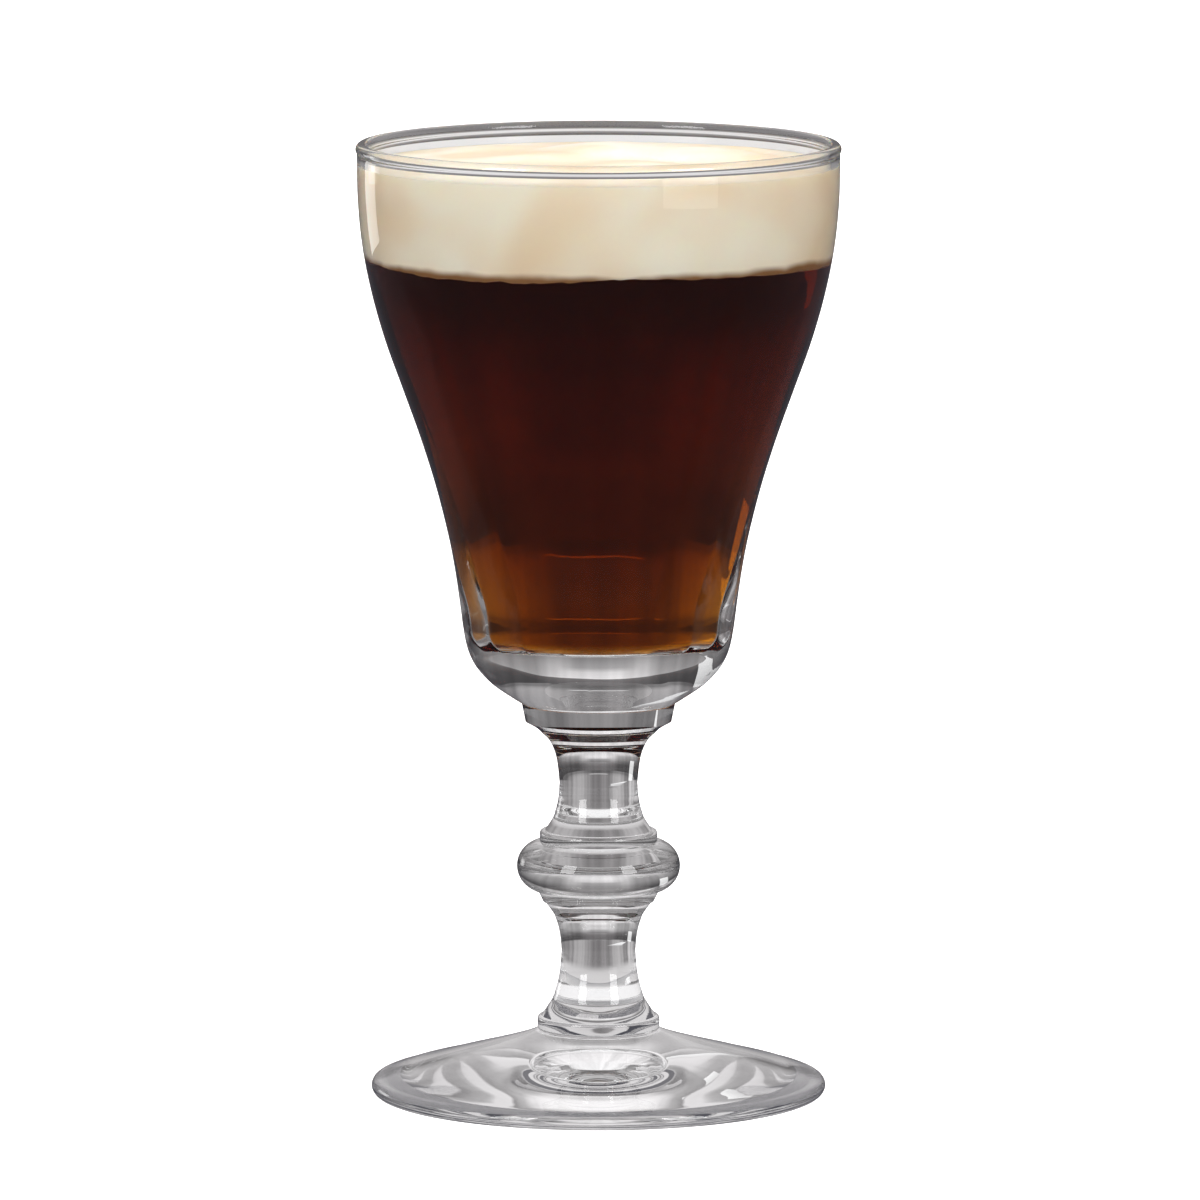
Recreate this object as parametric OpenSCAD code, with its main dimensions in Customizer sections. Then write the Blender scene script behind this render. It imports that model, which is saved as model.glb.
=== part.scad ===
// Stemmed irish coffee glass, filled with coffee and a cap of cream.
// Millimetres, +Z up. The origin is the centre of the foot's underside.
// The glass parts are fused face to face, from the foot up to the bowl.

/* [Rim and bowl] */
// Outer diameter over the rolled rim
rim_d = 73; // [68:0.5:78]
// Height of the bowl, from its seat on the merese to the top of the rim
bowl_h = 84.9; // [78:0.1:92]
// Thickness of the wall just under the rim
wall_t = 1.4; // [1.1:0.1:1.8]
// How much thicker the rolled rim is than the wall under it
rim_swell = 0.4; // [0.2:0.1:0.8]
// What the wall gains in thickness on its way down to the heel
heel_extra_t = 5.2; // [4:0.1:6]
// Thickness of the solid glass floor under the drink
sham_t = 9.5; // [8:0.1:11]
// Radius of the rounded corner between the inner wall and the floor
floor_corner_r = 2.5; // [1.5:0.1:4]

/* [Pressed panels inside the bowl] */
// Number of flat panels round the inner wall, an even number
panel_count = 14; // [10:2:18]
// Height above the bowl's seat at which the panels' arches close
panel_top_h = 67; // [58:0.5:74]
// Height of the arches themselves
panel_arch_h = 9; // [5:0.5:14]
// How far the panels' ridges stand in from the round wall
panel_ridge_t = 0.1; // [0.05:0.05:0.3]
// Turn of the ridges from the front, in degrees
panel_turn = 6; // [0:0.5:25]

/* [Merese under the bowl] */
// Diameter at its top, where the bowl sits
bowl_merese_d = 23.2; // [21:0.1:26]
// Diameter at its bottom edge
bowl_merese_low_d = 22.1; // [20:0.1:24]
// Height
bowl_merese_h = 2.7; // [2:0.1:4]

/* [Upper stem] */
// Height
upper_stem_h = 16.6; // [13:0.1:20]
// Diameter at the waist
upper_waist_d = 11.8; // [10:0.1:14]
// Height of the waist above the stem's lower end
upper_waist_h = 7.2; // [5:0.1:10]
// Diameter of the lower end, on the knop's ring
upper_stem_foot_d = 16.1; // [14:0.1:16.6]

/* [Knop] */
// Diameter at its widest
knop_d = 24.7; // [22:0.1:28]
// Height of the knop between its two rings
knop_bulb_h = 7.6; // [6:0.1:9]
// Diameter of the ring on top of the knop
knop_ring_d = 17.8; // [17:0.1:20]
// Height of the ring on top of the knop
knop_ring_h = 1.7; // [1.2:0.1:2.6]
// Roundness of that ring's upper edge
knop_ring_edge = 0.6; // [0.2:0.1:0.8]
// Diameter of the ring under the knop, where it leaves the knop
knop_low_ring_d = 18.4; // [17.6:0.1:20]
// Diameter of that ring at its lower end
knop_low_ring_foot_d = 16.8; // [16.6:0.1:17.6]
// Height of the ring under the knop
knop_low_ring_h = 1.6; // [1:0.1:2.4]

/* [Lower stem] */
// Height
lower_stem_h = 17.5; // [14:0.1:21]
// Diameter at the waist
lower_waist_d = 11.2; // [9.5:0.1:13]
// Height of the waist above the stem's lower end
lower_waist_h = 9.9; // [7:0.1:11]
// Diameter of the upper end, under the knop's ring
lower_stem_top_d = 16.4; // [15:0.1:16.6]
// Diameter of the lower end, on the foot's merese
lower_stem_foot_d = 17.3; // [15:0.1:17.4]

/* [Foot] */
// Diameter of the foot
foot_d = 68.8; // [60:0.2:76]
// Height of the foot up to the merese
foot_h = 9.7; // [8:0.1:13]
// Thickness of the foot's rounded edge
foot_edge_t = 2.5; // [2:0.1:3.4]
// Diameter of the merese on the foot
foot_merese_d = 18.5; // [18:0.1:21]
// Height of the merese on the foot
foot_merese_h = 2.2; // [1.6:0.1:3]
// Roundness of that merese's edges
foot_merese_edge = 0.5; // [0.2:0.1:0.7]
// Width of the flat ring that the foot stands on
foot_stand_w = 4; // [2.5:0.1:6]
// Rise of the hollow under the middle of the foot
foot_kick_h = 1.6; // [0.8:0.1:2.4]

/* [Drink] */
// Depth from the rim's top down to where the coffee meets the cream
coffee_drop = 17.3; // [14:0.1:24]
// Depth from the rim's top down to where the cream meets the glass
cream_drop = 3.2; // [2.4:0.1:6]
// Height of the cream's crown above its edge
cream_crown_h = 1.4; // [0.8:0.1:2]
// Gap between the drink and the glass
drink_gap = 0.02; // [0.01:0.01:0.1]

/* [Hidden] */

// Fineness of the turned surfaces and of the curves between outline points
$fn = 96;
curve_steps = 3;
corner_steps = 5;
stem_steps = 12;
bead_steps = 6;
dome_steps = 8;
// Overrun of every cut
over = 1;

glass_color = [0.86, 0.89, 0.9, 0.35];
coffee_color = [0.16, 0.07, 0.04];
cream_color = [0.93, 0.88, 0.77];

rim_r = rim_d / 2;
wall_r = rim_r - rim_swell / 2;
bead_r = (wall_t + rim_swell) / 2;
bead_x = rim_r - bead_r;
bead_turn = acos(wall_t / (wall_t + rim_swell));

// Heights of the seats, from the table up
foot_merese_z = foot_h;
lower_stem_z = foot_merese_z + foot_merese_h;
knop_z = lower_stem_z + lower_stem_h;
knop_h = knop_low_ring_h + knop_bulb_h + knop_ring_h;
upper_stem_z = knop_z + knop_h;
bowl_merese_z = upper_stem_z + upper_stem_h;
bowl_z = bowl_merese_z + bowl_merese_h;
rim_z = bowl_z + bowl_h;
bead_z = rim_z - bead_r;
wall_top_z = bead_z - bead_r * sin(bead_turn);
floor_z = bowl_z + sham_t;
corner_z = floor_z + floor_corner_r;
arch_top_z = bowl_z + panel_top_h;
arch_z = arch_top_z - panel_arch_h;
coffee_z = rim_z - coffee_drop;
cream_z = rim_z - cream_drop;

// The bowl's side view: share of the wall's height, share of its top radius,
// and share of heel_extra_t in the wall's thickness there
bowl_shares = [
    [0.000, 0.3160, 0.92],
    [0.016, 0.3740, 0.92],
    [0.036, 0.4400, 0.92],
    [0.057, 0.4890, 0.92],
    [0.078, 0.5230, 0.92],
    [0.104, 0.5470, 0.95],
    [0.140, 0.5630, 1.00],
    [0.188, 0.5775, 1.00],
    [0.247, 0.5975, 0.81],
    [0.311, 0.6260, 0.62],
    [0.398, 0.6765, 0.46],
    [0.485, 0.7390, 0.31],
    [0.572, 0.8105, 0.19],
    [0.660, 0.8830, 0.10],
    [0.747, 0.9395, 0.06],
    [0.834, 0.9785, 0.02],
    [0.920, 0.9970, 0.00],
    [1.000, 1.0000, 0.00]];

// A stem's side from its waist to its end: share of the height, and share of
// what the radius gains. The second list is the bolder sweep under the bowl.
cove_shares = [[0, 0], [0.25, 0.06], [0.45, 0.16], [0.6, 0.29], [0.73, 0.43], [0.84, 0.64],
               [0.92, 0.81], [1, 1]];
bold_cove_shares = [[0, 0], [0.25, 0.045], [0.45, 0.11], [0.6, 0.21], [0.72, 0.34],
                    [0.82, 0.53], [0.91, 0.71], [1, 1]];

// The foot's upper side, from the merese outwards: share of the way out to
// the edge's centre, and share of the way down to the edge's top
foot_top_shares = [[0, 0], [0.12, 0.15], [0.26, 0.295], [0.43, 0.455], [0.59, 0.597],
                   [0.745, 0.742], [0.88, 0.862], [1, 1]];

// Soft mounds on the cream: place in shares of the cream's radius, radius in
// shares of it, and top in shares of the crown's height
mound_shares = [
    [0.05, 0.25, 0.50, 1.75],
    [0.42, 0.10, 0.42, 1.60],
    [-0.22, 0.02, 0.40, 1.35],
    [0.18, -0.36, 0.40, 1.20],
    [-0.50, -0.42, 0.30, 0.95],
    [-0.40, 0.50, 0.32, 0.90],
    [0.55, 0.48, 0.25, 0.85]];

// A point between b and c on the smooth curve through a, b, c and d
function between(a, b, c, d, t) =
    (2 * b + (c - a) * t + (2 * a - 5 * b + 4 * c - d) * t * t
     + (3 * b - a - 3 * c + d) * t * t * t) / 2;

// The smooth curve through all the points p, with n steps between two of them
function smooth(p, n) = concat(
    [for (i = [0 : len(p) - 2], s = [0 : n - 1])
        between(p[max(i - 1, 0)], p[i], p[i + 1], p[min(i + 2, len(p) - 1)], s / n)],
    [p[len(p) - 1]]);

// Arc of an ellipse about c, from angle a to angle b in n steps
function arc(c, rx, rz, a, b, n) =
    [for (i = [0 : n]) let (t = a + (b - a) * i / n) [c[0] + rx * cos(t), c[1] + rz * sin(t)]];

// The wall as rows of height, outer radius and thickness
wall_rows = smooth(
    [for (s = bowl_shares)
        [bowl_z + s[0] * (wall_top_z - bowl_z), s[1] * wall_r, wall_t + s[2] * heel_extra_t]],
    curve_steps);

function outer_r(z) = lookup(z, [for (w = wall_rows) [w[0], w[1]]]);
function inner_r(z) = outer_r(z) - lookup(z, [for (w = wall_rows) [w[0], w[2]]]);

// Where the inner wall meets the corner, and the heights of its rings above
corner_r = inner_r(corner_z);
inner_zs = [for (w = wall_rows) if (w[0] > corner_z + drink_gap) w[0]];

// Inner outline from the floor's middle up to the top of the wall, drawn
// gap inside the glass. Each row is a radius and a height.
function cavity_side(gap) = concat(
    arc([corner_r - floor_corner_r, corner_z], floor_corner_r - gap, floor_corner_r - gap,
        -90, 0, corner_steps),
    [for (z = inner_zs) [inner_r(z) - gap, z]]);

// Distance of the panels from the axis, as a share of the round wall's radius
panel_share = cos(180 / panel_count) * (1 - panel_ridge_t / corner_r);

// A panel's outline from the floor's edge up, gap off the glass. From arch_z it
// leans out in one straight line, which leaves the round wall at arch_top_z.
function panel_side(gap) =
    let (start = [panel_share * (inner_r(arch_z) - gap), arch_z],
         leave = [inner_r(arch_top_z) - gap, arch_top_z])
    concat([for (p = cavity_side(gap)) if (p[1] < arch_z - drink_gap) [panel_share * p[0], p[1]]],
           [start, start + (leave - start) * (wall_top_z + over - arch_z) / panel_arch_h]);

// Solid of revolution. Its side is given as radius and height, and runs from
// the height from_z on the axis to the height to_z on the axis.
module turned(side, from_z, to_z)
    rotate_extrude() polygon(concat([[0, from_z]], side, [[0, to_z]]));

// Room inside the wall, round above and flat-panelled below, gap off the glass
module cavity(gap) intersection() {
    turned(cavity_side(gap), floor_z + gap, wall_top_z);
    panel_prisms(gap);
}

// Pairs of opposite panels: each prism is the room between one pair
module panel_prisms(gap) {
    half = panel_side(gap);
    across = concat(half, [for (k = [len(half) - 1 : -1 : 0]) [-half[k][0], half[k][1]]]);
    intersection_for (i = [0 : panel_count / 2 - 1])
        rotate([90, 0, (i + 0.5) * 360 / panel_count - 90 + panel_turn])
            linear_extrude(2 * rim_d, center = true) polygon(across);
}

// The rolled rim's outline: the arc from the wall's outer or inner side to its top
function bead_arc(from) = arc([bead_x, bead_z], bead_r, bead_r, from, 90, bead_steps);

module bowl() color(glass_color) difference() {
    turned(concat([for (w = wall_rows) [w[1], w[0]]], bead_arc(-bead_turn)), bowl_z, rim_z);
    cavity(0);
    turned(concat([[wall_r - wall_t, wall_top_z - over]],
                  bead_arc(180 + bead_turn), [[bead_x, rim_z + over]]),
           wall_top_z - over, rim_z + over);
}

module bowl_merese() color(glass_color) translate([0, 0, bowl_merese_z])
    cylinder(h = bowl_merese_h, d1 = bowl_merese_low_d, d2 = bowl_merese_d);

// Half a stem's side, from its waist to its end, along a list of shares
function cove(waist_r, waist_z, end_r, end_z, shares) = smooth(
    [for (c = shares)
        [waist_r + c[1] * (end_r - waist_r), waist_z + c[0] * (end_z - waist_z)]],
    curve_steps);

function reversed(p) = [for (i = [len(p) - 1 : -1 : 0]) p[i]];

// A ring's side from height z up: low and high are the radii of its two edges
function ring_side(r, z, h, low, high) = concat(
    low > 0 ? arc([r - low, z + low], low, low, -90, 0, corner_steps) : [[r, z]],
    arc([r - high, z + h - high], high, high, 0, 90, corner_steps));

module upper_stem() color(glass_color) {
    waist_z = upper_stem_z + upper_waist_h;
    waist_r = upper_waist_d / 2;
    turned(concat(reversed(cove(waist_r, waist_z, upper_stem_foot_d / 2, upper_stem_z, cove_shares)),
                  cove(waist_r, waist_z, bowl_merese_low_d / 2, bowl_merese_z, bold_cove_shares)),
           upper_stem_z, bowl_merese_z);
}

module knop() color(glass_color) {
    bulb_r = knop_bulb_h / 2;
    bulb_x = knop_d / 2 - bulb_r;
    bulb_z = knop_z + knop_low_ring_h + bulb_r;
    // Where the two rings meet the bulb, as angles round the bulb's centre
    low_meet = -acos((knop_low_ring_d / 2 - bulb_x) / bulb_r);
    high_meet = acos((knop_ring_d / 2 - bulb_x) / bulb_r);
    ring_z = bulb_z + bulb_r * sin(high_meet);
    turned(concat([[knop_low_ring_foot_d / 2, knop_z]],
                  arc([bulb_x, bulb_z], bulb_r, bulb_r, low_meet, high_meet, stem_steps),
                  ring_side(knop_ring_d / 2, ring_z, upper_stem_z - ring_z, 0, knop_ring_edge)),
           knop_z, upper_stem_z);
}

module lower_stem() color(glass_color) {
    waist_z = lower_stem_z + lower_waist_h;
    waist_r = lower_waist_d / 2;
    turned(concat(reversed(cove(waist_r, waist_z, lower_stem_foot_d / 2, lower_stem_z, cove_shares)),
                  cove(waist_r, waist_z, lower_stem_top_d / 2, knop_z, cove_shares)),
           lower_stem_z, knop_z);
}

module foot_merese() color(glass_color)
    turned(ring_side(foot_merese_d / 2, foot_merese_z, foot_merese_h, foot_merese_edge, foot_merese_edge),
           foot_merese_z, lower_stem_z);

// A shallow dome's side from its top to its rim at height z: r wide and h high
function dome_side(r, h, z) =
    [for (i = [1 : dome_steps]) let (t = i / dome_steps) [r * t, z + h * (1 - t * t)]];

module foot() color(glass_color) {
    edge_r = foot_edge_t / 2;
    edge_x = foot_d / 2 - edge_r;
    top = smooth([for (s = foot_top_shares)
        [foot_merese_d / 2 + s[0] * (edge_x - foot_merese_d / 2),
         foot_h - s[1] * (foot_h - foot_edge_t)]], curve_steps);
    edge = arc([edge_x, edge_r], edge_r, edge_r, -90, 90, stem_steps);
    turned(concat(dome_side(edge_x - foot_stand_w, foot_kick_h, 0), edge,
                  [for (i = [len(top) - 2 : -1 : 0]) top[i]]),
           foot_kick_h, foot_h);
}

module coffee() color(coffee_color) intersection() {
    cavity(drink_gap);
    translate([0, 0, floor_z]) cylinder(h = coffee_z - floor_z, r = rim_d);
}

// A soft mound of cream: the cap of a ball at x and y, r wide and h high
module mound(x, y, r, h) {
    ball_r = (r * r + h * h) / (2 * h);
    translate([x, y, cream_z + h - ball_r]) sphere(ball_r);
}

module cream() color(cream_color) {
    cream_r = inner_r(cream_z) - drink_gap;
    side = [for (z = concat([coffee_z], inner_zs)) if (z >= coffee_z && z < cream_z - drink_gap)
        [inner_r(z) - drink_gap, z]];
    intersection() {
        turned(concat(side, reversed(dome_side(cream_r, cream_crown_h, cream_z))),
               coffee_z, cream_z + cream_crown_h);
        panel_prisms(drink_gap);
    }
    intersection() {
        translate([0, 0, cream_z]) cylinder(h = cream_drop, r = cream_r);
        for (m = mound_shares)
            mound(m[0] * cream_r, m[1] * cream_r, m[2] * cream_r, m[3] * cream_crown_h);
    }
}

foot();
foot_merese();
lower_stem();
knop();
upper_stem();
bowl_merese();
bowl();
coffee();
cream();
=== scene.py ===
# %% [markdown]
# # A stemmed irish coffee glass
# The real object is a pressed soda-lime glass: a bowl on a knopped stem and a round foot,
# filled with coffee under a cap of cream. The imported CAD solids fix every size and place.
# Here each of them is modelled again as a smooth piece that light can bend through, and
# is set in a small white studio. Nine pieces are made, one for each CAD node.

# %% Load the fixed frame
import bisect
import math

import bmesh
import bpy
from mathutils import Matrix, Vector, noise


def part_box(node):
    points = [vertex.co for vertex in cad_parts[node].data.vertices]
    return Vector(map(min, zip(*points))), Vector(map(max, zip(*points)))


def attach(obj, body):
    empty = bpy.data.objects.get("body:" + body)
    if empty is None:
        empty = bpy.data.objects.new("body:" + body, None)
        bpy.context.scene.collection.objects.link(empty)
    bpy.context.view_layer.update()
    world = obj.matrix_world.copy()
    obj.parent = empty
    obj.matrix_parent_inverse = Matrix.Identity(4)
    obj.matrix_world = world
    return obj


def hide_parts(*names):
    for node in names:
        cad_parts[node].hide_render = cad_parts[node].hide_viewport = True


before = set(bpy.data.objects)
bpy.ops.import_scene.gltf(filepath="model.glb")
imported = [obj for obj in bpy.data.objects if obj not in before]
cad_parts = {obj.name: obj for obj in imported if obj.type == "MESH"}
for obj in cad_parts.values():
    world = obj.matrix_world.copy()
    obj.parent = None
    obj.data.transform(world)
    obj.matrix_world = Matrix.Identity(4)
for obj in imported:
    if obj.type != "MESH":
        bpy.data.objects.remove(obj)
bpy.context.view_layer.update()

# %% [markdown]
# ## Sizes
# The heights of the seats and the widths of the parts are read from the CAD nodes' boxes,
# so the pieces always fit the frame. Only what a box can't say is written down again from
# the drawing: wall thickness, waists, roundings and the panels. Everything is in metres.

# %% Heights and radii of a node
def low(node):
    """Height of the node's underside."""
    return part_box(node)[0].z


def high(node):
    """Height of the node's top."""
    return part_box(node)[1].z


def radius(node):
    """Largest radius of the node."""
    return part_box(node)[1].x


rim_r = radius("bowl")
bowl_z = low("bowl")
rim_z = high("bowl")
coffee_z = high("coffee")
floor_z = low("coffee")
print("rim radius", round(rim_r, 5), "bowl from", round(bowl_z, 5), "to", round(rim_z, 5))
print("coffee from", round(floor_z, 5), "to", round(coffee_z, 5))

# %% [markdown]
# ## Drawing an outline
# A turned glass is drawn as half of its side view. Three small functions draw such an
# outline: a smooth curve through chosen points, an arc for rolled edges, and the hollow
# sweep of a stem. A photograph could be traced point by point instead, but every wobble
# of the hand would then bend the light. Few points with a curve between them stay easy to
# correct, and keep the refraction clean.

# %% Smooth curve
def between(a, b, c, d, t):
    """A point between b and c on the smooth curve through a, b, c and d."""
    return tuple(
        (2 * q + (r - p) * t + (2 * p - 5 * q + 4 * r - s) * t * t
         + (3 * q - p - 3 * r + s) * t ** 3) / 2
        for p, q, r, s in zip(a, b, c, d))


def smooth(points, steps=6):
    """The smooth curve through all the points."""
    curve = []
    for i in range(len(points) - 1):
        a, b, c = points[max(i - 1, 0)], points[i], points[i + 1]
        d = points[min(i + 2, len(points) - 1)]
        curve += [between(a, b, c, d, s / steps) for s in range(steps)]
    return curve + [tuple(points[-1])]


# %% Arc and stem sweep
def arc(centre_r, centre_z, r, start, end, steps=12):
    """An arc in the side view, from one angle to another in degrees."""
    angles = [math.radians(start + (end - start) * i / steps) for i in range(steps + 1)]
    return [(centre_r + r * math.cos(a), centre_z + r * math.sin(a)) for a in angles]


def sweep(waist_r, waist_z, end_r, end_z, shares):
    """Half a stem's side from its waist to its end, along shares of height and radius."""
    return smooth([(waist_r + out * (end_r - waist_r), waist_z + up * (end_z - waist_z))
                   for up, out in shares])


# %% [markdown]
# ## Turning an outline
# A cylinder with edited rings could give these shapes too, but spin works as a lathe
# does: it carries one outline once round the axis. use_merge closes the seam, the points
# on the axis are merged into one pole, and the normals are then worked out again, because
# a spin can turn a shape inside out. The steps are a whole number for each of the
# fourteen panels inside the bowl, so that every ridge gets vertices of its own.

# %% Lathe
panel_count = 14
STEPS_PER_PANEL = 14
SPIN_STEPS = STEPS_PER_PANEL * panel_count
MERGE = 1e-7


def turned(outline, start=-math.pi / 2):
    """A closed shape from an outline of (radius, height) points that ends on the axis."""
    bm = bmesh.new()
    verts = [bm.verts.new((r * math.cos(start), r * math.sin(start), z)) for r, z in outline]
    edges = [bm.edges.new(pair) for pair in zip(verts, verts[1:])]
    bmesh.ops.spin(bm, geom=verts + edges, cent=(0, 0, 0), axis=(0, 0, 1),
                   angle=math.tau, steps=SPIN_STEPS, use_merge=True)
    bmesh.ops.remove_doubles(bm, verts=bm.verts, dist=MERGE)
    bmesh.ops.recalc_face_normals(bm, faces=bm.faces)
    return bm


# %% [markdown]
# ## Finishing a piece
# Glass shows every facet, so all faces are shaded smoothly, and only edges sharper than a
# set angle stay crisp. Each face is then given its material by where it lies, and the
# piece is tied to the CAD frame: it rides on the one body and stands for one node. The
# print shows that the mesh is closed and how much glass or drink it holds.

# %% Finish a piece
SHARP_ANGLE = math.radians(35)
ML = 1e6


def piece(bm, name, node, materials, choose=lambda centre: 0):
    """Makes the object, gives each face its material, and ties it to the frame."""
    for face in bm.faces:
        face.smooth = True
        face.material_index = choose(face.calc_center_median())
    for edge in bm.edges:
        edge.smooth = edge.calc_face_angle(0) < SHARP_ANGLE
    open_edges = sum(not e.is_manifold for e in bm.edges)
    mesh = bpy.data.meshes.new(name)
    bm.to_mesh(mesh)
    print(f"{name}: {len(mesh.polygons)} faces, {open_edges} open edges,"
          f" {bm.calc_volume() * ML:.2f} ml")
    bm.free()
    for material in materials:
        mesh.materials.append(material)
    made = bpy.data.objects.new(name, mesh)
    bpy.context.scene.collection.objects.link(made)
    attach(made, "root")
    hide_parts(node)
    return made


# %% [markdown]
# ## Colours and nodes
# Colours are written as the sRGB hex codes that a paint program shows, and Blender wants
# linear light, so one function converts them. Another one adds a shader node with its
# settings and links in one line. A noise pattern's scale is the number of its features in
# a metre, so it is worked out from their real size.

# %% Helpers for materials
def linear(code):
    """A sRGB hex colour as linear values."""
    parts = [int(code[i:i + 2], 16) / 255 for i in (1, 3, 5)]
    return [c / 12.92 if c <= 0.04045 else ((c + 0.055) / 1.055) ** 2.4 for c in parts] + [1.0]


def add(tree, kind, settings=None, links=None):
    """Adds a node. Settings and links go by a socket's name or number, or an attribute."""
    node = tree.nodes.new(kind)
    for name, value in (settings or {}).items():
        if isinstance(name, int) or name in node.inputs:
            node.inputs[name].default_value = value
        else:
            setattr(node, name, value)
    for name, source in (links or {}).items():
        tree.links.new(source, node.inputs[name])
    return node


def new_material(name):
    """A material with only its output node."""
    made = bpy.data.materials.new(name)
    made.use_nodes = True
    made.node_tree.nodes.clear()
    return made, made.node_tree, made.node_tree.nodes.new("ShaderNodeOutputMaterial")


def in_metre(mm):
    """How many features of a size in millimetres lie along a metre."""
    return 1000 / mm


# %% [markdown]
# ## Pressed glass
# Soda-lime glass bends light with an index of about 1.52. It came hot from a metal mould
# and was fire-polished, so it is clear and sharp, with only a faint ripple about 6 mm
# long: a weak bump gives it. Where drink wets the glass, light goes from 1.52 to 1.34, so
# that wall carries the ratio of the two. An index on each side would need two surfaces
# in one place, and they would flicker.

# %% Clear glass
GLASS_IOR = 1.52
DRINK_IOR = 1.34
RIPPLE_MM = 6.25


def clear_glass(name, ior):
    """Fire-polished pressed glass: clear, with the faint ripple that the mould leaves."""
    made, tree, out = new_material(name)
    place = add(tree, "ShaderNodeTexCoord")
    ripple = add(tree, "ShaderNodeTexNoise", {"Scale": in_metre(RIPPLE_MM), "Detail": 1.0},
                 {"Vector": place.outputs["Object"]})
    bump = add(tree, "ShaderNodeBump", {"Strength": 0.04, "Distance": 0.0002},
               {"Height": ripple.outputs["Fac"]})
    shader = add(tree, "ShaderNodeBsdfPrincipled",
                 {"Base Color": linear("#FCFDFD"), "Roughness": 0.0, "IOR": ior,
                  "Transmission Weight": 1.0}, {"Normal": bump.outputs["Normal"]})
    tree.links.new(shader.outputs["BSDF"], out.inputs["Surface"])
    return made


pressed_glass = clear_glass("pressed_soda_lime_glass", GLASS_IOR)
wetted_glass = clear_glass("pressed_glass_wetted_by_drink", GLASS_IOR / DRINK_IOR)
print("index against air", GLASS_IOR, "and against drink", round(GLASS_IOR / DRINK_IOR, 3))

# %% [markdown]
# ## Fused joints
# The stem's parts were fused while they glowed, and no surface is left between them for
# light to notice. The pieces still need closed ends, so those faces are simply let
# through with a Transparent shader.

# %% Fused joint
def fused_face(name):
    """A face inside one body of glass, where nothing bends the light."""
    made, tree, out = new_material(name)
    shader = add(tree, "ShaderNodeBsdfTransparent", {"Color": linear("#FFFFFF")})
    tree.links.new(shader.outputs["BSDF"], out.inputs["Surface"])
    return made


GLASS = [pressed_glass, fused_face("fused_glass_joint")]

# %% [markdown]
# ## Black coffee
# Coffee looks black where it is deep and amber where it is thin. A dark surface colour
# could only be one or the other, so most of the colour comes from absorption inside the
# volume, which takes little red, more green and almost all blue. A little scatter is the
# haze of fine oil drops. The surface adds the amber that even a thin layer has, mottled
# where cream has begun to mix in. The glass wall already bends the light, so this surface
# doesn't, and has an index of 1.

# %% Coffee material
COFFEE_COLOUR = "#F3E555"
ABSORPTION = 440.0
HAZE = 4.2
SWIRL_MM = 11


def brewed_coffee():
    """Black coffee: dark where it is deep, amber where it is a few millimetres thin."""
    made, tree, out = new_material("black_coffee")
    place = add(tree, "ShaderNodeTexCoord")
    swirl = add(tree, "ShaderNodeTexNoise",
                {"Scale": in_metre(SWIRL_MM), "Detail": 2.0, "Distortion": 0.6},
                {"Vector": place.outputs["Object"]})
    fines = add(tree, "ShaderNodeMapRange", {"From Min": 0.4, "From Max": 0.65},
                {"Value": swirl.outputs["Fac"]})
    amber = add(tree, "ShaderNodeMix",
                {"data_type": "RGBA", 6: linear("#FFC691"), 7: linear("#F7BB86")},
                {0: fines.outputs["Result"]})
    shader = add(tree, "ShaderNodeBsdfPrincipled",
                 {"Roughness": 0.0, "IOR": 1.0, "Transmission Weight": 1.0},
                 {"Base Color": amber.outputs[2]})
    absorb = add(tree, "ShaderNodeVolumeAbsorption",
                 {"Color": linear(COFFEE_COLOUR), "Density": ABSORPTION})
    haze = add(tree, "ShaderNodeVolumeScatter", {"Color": linear("#FFF8A8"), "Density": HAZE})
    both = add(tree, "ShaderNodeAddShader",
               links={0: absorb.outputs["Volume"], 1: haze.outputs["Volume"]})
    tree.links.new(shader.outputs["BSDF"], out.inputs["Surface"])
    tree.links.new(both.outputs["Shader"], out.inputs["Volume"])
    return made


coffee_material = brewed_coffee()
SHOWN_DEPTH = 0.01
print("share of red, green and blue left after 10 mm of coffee",
      [round(math.exp(-ABSORPTION * (1 - c) * SHOWN_DEPTH), 3) for c in linear(COFFEE_COLOUR)[:3]])

# %% [markdown]
# ## Whipped cream
# Lightly whipped cream is warm ivory and satin, and light goes a few millimetres into it
# before it comes out again, which subsurface scattering gives. Its tone varies in soft
# lighter and darker blotches about 16 mm wide. Along its lower edge the coffee seeps in
# and stains it brown, along a line that a finer noise makes uneven.

# %% Cream material
BLOTCH_MM = 16
SEEP_MM = 7
SEEP_H = 0.0016


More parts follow.
